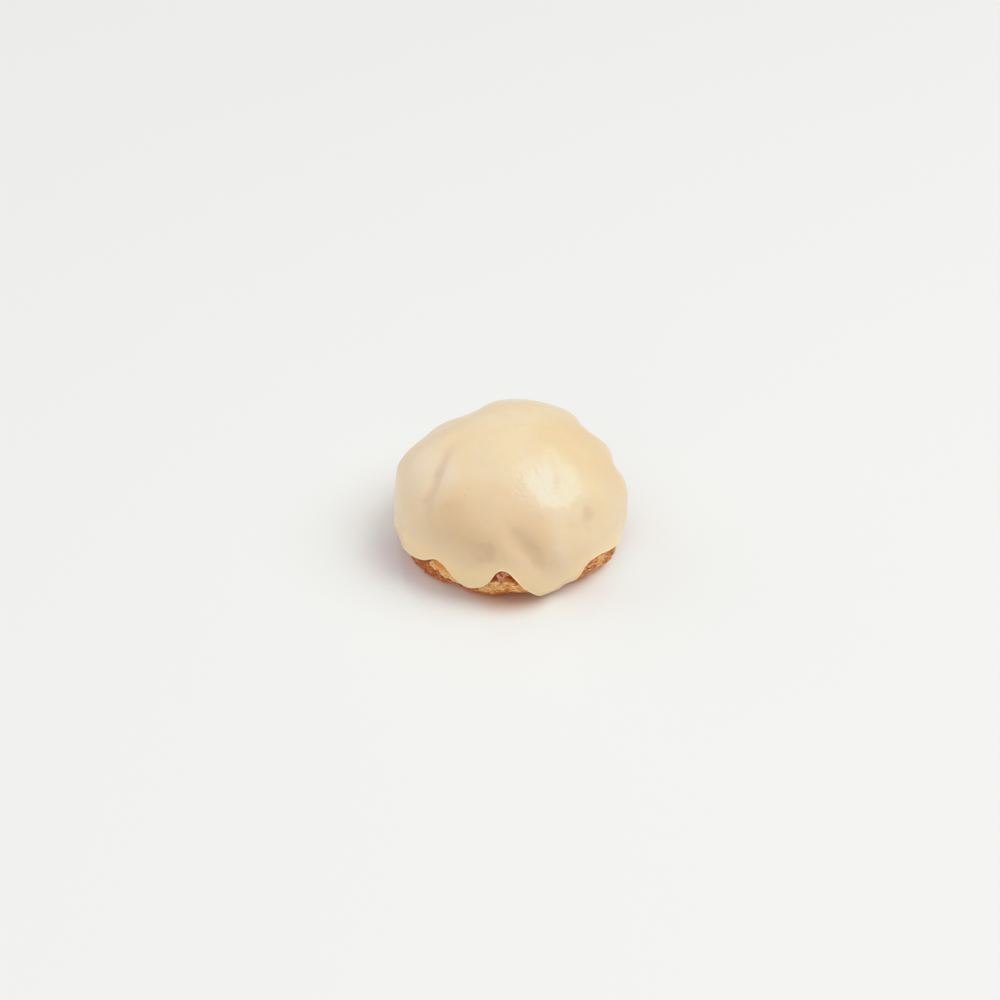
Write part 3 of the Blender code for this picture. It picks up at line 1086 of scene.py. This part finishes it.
def grain_group():
    """Soft mottling at a given spacing: a value from 0 to 1, and a normal from its relief."""
    group = bpy.data.node_groups.new("mottling", "ShaderNodeTree")
    for name in ("Spacing", "Relief", "Strength"):
        group.interface.new_socket(name, in_out="INPUT", socket_type="NodeSocketFloat")
    group.interface.new_socket("Value", in_out="OUTPUT", socket_type="NodeSocketFloat")
    group.interface.new_socket("Normal", in_out="OUTPUT", socket_type="NodeSocketVector")
    given = group.nodes.new("NodeGroupInput")
    result = group.nodes.new("NodeGroupOutput")
    place = group.nodes.new("ShaderNodeTexCoord")
    scale = add_node(group, "ShaderNodeMath", operation="DIVIDE")
    scale.inputs[0].default_value = 1.0
    pattern = group.nodes.new("ShaderNodeTexNoise")
    pattern.inputs["Detail"].default_value = PATTERN_DETAIL
    pattern.inputs["Roughness"].default_value = PATTERN_ROUGHNESS
    bump = group.nodes.new("ShaderNodeBump")
    group.links.new(given.outputs["Spacing"], scale.inputs[1])
    group.links.new(scale.outputs[0], pattern.inputs["Scale"])
    group.links.new(place.outputs["Object"], pattern.inputs["Vector"])
    group.links.new(given.outputs["Strength"], bump.inputs["Strength"])
    group.links.new(given.outputs["Relief"], bump.inputs["Distance"])
    group.links.new(pattern.outputs["Fac"], bump.inputs["Height"])
    group.links.new(pattern.outputs["Fac"], result.inputs["Value"])
    group.links.new(bump.outputs["Normal"], result.inputs["Normal"])
    return group


def mottling(tree, group, spacing, relief=0.0, strength=0.0):
    """Value and normal of the mottling group at a spacing."""
    made = tree.nodes.new("ShaderNodeGroup")
    made.node_tree = group
    made.inputs["Spacing"].default_value = spacing
    made.inputs["Relief"].default_value = relief
    made.inputs["Strength"].default_value = strength
    return made.outputs["Value"], made.outputs["Normal"]


def pinholes(tree):
    """1 in the few pinholes that burst bubbles leave, 0 beside them."""
    place = add_node(tree, "ShaderNodeTexCoord").outputs["Object"]
    holes = add_node(tree, "ShaderNodeTexVoronoi")
    tree.links.new(place, holes.inputs["Vector"])
    holes.inputs["Scale"].default_value = 1 / PINHOLE_SPACING
    chosen = add_node(tree, "ShaderNodeMath", operation="MULTIPLY")
    plug(tree, spread(tree, holes.outputs["Distance"], *PINHOLE_RADIUS), chosen.inputs[0])
    plug(tree, spread(tree, holes.outputs["Color"], *PINHOLE_CHOICE), chosen.inputs[1])
    return chosen.outputs[0]


def icing_material(group):
    """Pale caramel icing: creamy, slightly see-through, with a soft gloss, and painted light and shade laid
    over its colour.
    """
    material, tree, shader = new_material("poured_caramel")
    broad, _ = mottling(tree, group, BROAD_SPACING)
    fine, normal = mottling(tree, group, *ICING_GRAIN)
    patterns = {"broad": broad, "pinholes": pinholes(tree)}
    plug(tree, layered(tree, CREAMY, ICING_TINTS, patterns), shader.inputs["Base Color"])
    plug(tree, spread(tree, fine, *GRAIN_RANGE, *ICING_ROUGHNESS), shader.inputs["Roughness"])
    plug(tree, normal, shader.inputs["Normal"])
    set_finish(shader, ICING_FINISH)
    return material


def crust_material(group):
    """Baked choux crust: brown skin, golden where it has torn, dark in its cracks and pits, with painted
    shadow below the hem and under the lifted lips.
    """
    material, tree, shader = new_material("baked_crust")
    fine, normal = mottling(tree, group, *CRUST_GRAIN)
    specks, _ = mottling(tree, group, SPECK_SPACING)
    patchy, _ = mottling(tree, group, PATCH_SPACING)
    patterns = {"fine": fine, "specks": specks, "patchy": patchy}
    mixed = {
        "open crumb": layered(tree, STRAW, CRUMB_TINTS, patterns),
        "torn patch": layered(tree, STRAW, TORN_TINTS, patterns),
    }
    plug(tree, layered(tree, BROWN, SKIN_TINTS, patterns, mixed), shader.inputs["Base Color"])
    glazed = mask(tree, "glazed")
    plug(tree, spread(tree, glazed, *GLAZE_RANGE, *CRUST_ROUGHNESS), shader.inputs["Roughness"])
    plug(tree, spread(tree, glazed, *GLAZE_RANGE, *CRUST_SHINE), shader.inputs["Specular IOR Level"])
    plug(tree, normal, shader.inputs["Normal"])
    set_finish(shader, CRUST_FINISH)
    return material


def floor_material():
    """Pale glaze, with warm, rosy and cooler shade painted on it close to the foot."""
    material, tree, shader = new_material("pale_floor")
    place = add_node(tree, "ShaderNodeTexCoord").outputs["Object"]
    colour = FLOOR_COLOUR
    for shade, (x, y), inner, outer in PAINTED_FLOOR_SHADES:
        away = add_node(tree, "ShaderNodeVectorMath", operation="DISTANCE")
        tree.links.new(place, away.inputs[0])
        away.inputs[1].default_value = (x * MM, y * MM, 0)
        near = spread(tree, away.outputs["Value"], inner * MM, outer * MM, 1.0, 0.0)
        colour = blend(tree, near, colour, shade)
    plug(tree, colour, shader.inputs["Base Color"])
    shader.inputs["Roughness"].default_value = FLOOR_ROUGHNESS
    return material


def pale_floor():
    made = bmesh.new()
    bmesh.ops.create_grid(made, x_segments=1, y_segments=1, size=FLOOR_HALF_WIDTH)
    mesh = bpy.data.meshes.new("pale_floor")
    made.to_mesh(mesh)
    made.free()
    mesh.materials.append(floor_material())
    floor = bpy.data.objects.new("pale_floor", mesh)
    floor.location.z = -FLOOR_DROP
    bpy.context.scene.collection.objects.link(floor)


def look_from(made, azimuth, elevation, distance):
    """Puts a lamp or camera at a distance from the middle of the cake, turned to it."""
    away = Vector(heading(azimuth, elevation).tolist())
    made.location = Vector((0, 0, AIM_HEIGHT)) + away * distance
    made.rotation_euler = away.to_track_quat("Z", "Y").to_euler()
    bpy.context.scene.collection.objects.link(made)
    return made


def camera():
    data = bpy.data.cameras.new("view")
    data.lens = CAMERA_LENS
    data.sensor_width = SENSOR_WIDTH
    data.clip_start = NEAREST_SEEN
    data.clip_end = FARTHEST_SEEN
    made = look_from(bpy.data.objects.new("view", data), 0, CAMERA_SLOPE, CAMERA_DISTANCE)
    metres_per_px = CAMERA_DISTANCE * SENSOR_WIDTH / CAMERA_LENS / FRAME_WIDTH_PX
    turned = made.rotation_euler.to_matrix()
    made.location -= turned @ Vector((AIM_RIGHT_PX, AIM_UP_PX, 0)) * metres_per_px
    bpy.context.scene.camera = made


def softbox(name, azimuth, elevation, distance, width, power, colour):
    data = bpy.data.lights.new(name, "AREA")
    data.shape = "DISK"
    data.size = width
    data.energy = power
    data.color = colour
    look_from(bpy.data.objects.new(name, data), azimuth, elevation, distance)


def soft_shoulder(view):
    """Plain colours, with the brightest rolled off as on photographic paper."""
    view.view_transform = "Standard"
    view.use_curve_mapping = True
    combined = view.curve_mapping.curves[COMBINED_CURVE]
    for light, shown in SHOULDER:
        combined.points.new(light, shown)
    combined.points[-1].location = (1.0, WHITE_SHOWN)
    view.curve_mapping.extend = "HORIZONTAL"
    view.curve_mapping.update()


def studio():
    """A soft sky that is brightest overhead, a large key from the right and two fills."""
    world = bpy.data.worlds.new("studio")
    world.use_nodes = True
    tree = world.node_tree
    direction = add_node(tree, "ShaderNodeTexCoord").outputs["Generated"]
    parts = add_node(tree, "ShaderNodeSeparateXYZ")
    tree.links.new(direction, parts.inputs[0])
    background = tree.nodes["Background"]
    background.inputs["Color"].default_value = (1, 1, 1, 1)
    sky = spread(tree, parts.outputs["Z"], 0.0, OVERHEAD, HORIZON_LIGHT, ZENITH_LIGHT)
    light = add_node(tree, "ShaderNodeMix", data_type="FLOAT")
    plug(tree, add_node(tree, "ShaderNodeLightPath").outputs["Is Glossy Ray"], light.inputs[MIX_FACTOR])
    for value, place in zip((sky, GLOSS_LIGHT), MIX_NUMBERS):
        plug(tree, value, light.inputs[place])
    plug(tree, light.outputs[MIXED_NUMBER], background.inputs["Strength"])
    bpy.context.scene.world = world
    for lamp in LAMPS:
        softbox(*lamp)
    soft_shoulder(bpy.context.scene.view_settings)


def main():
    group = grain_group()
    icing = poured_icing(icing_material(group))
    crust = bare_crust(crust_material(group))
    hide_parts("caramel_icing")
    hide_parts("choux_bun")
    for piece, slot in ((icing, "caramel_icing"), (crust, "browned_crust")):
        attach(piece, "root")
    pale_floor()
    camera()
    studio()


main()
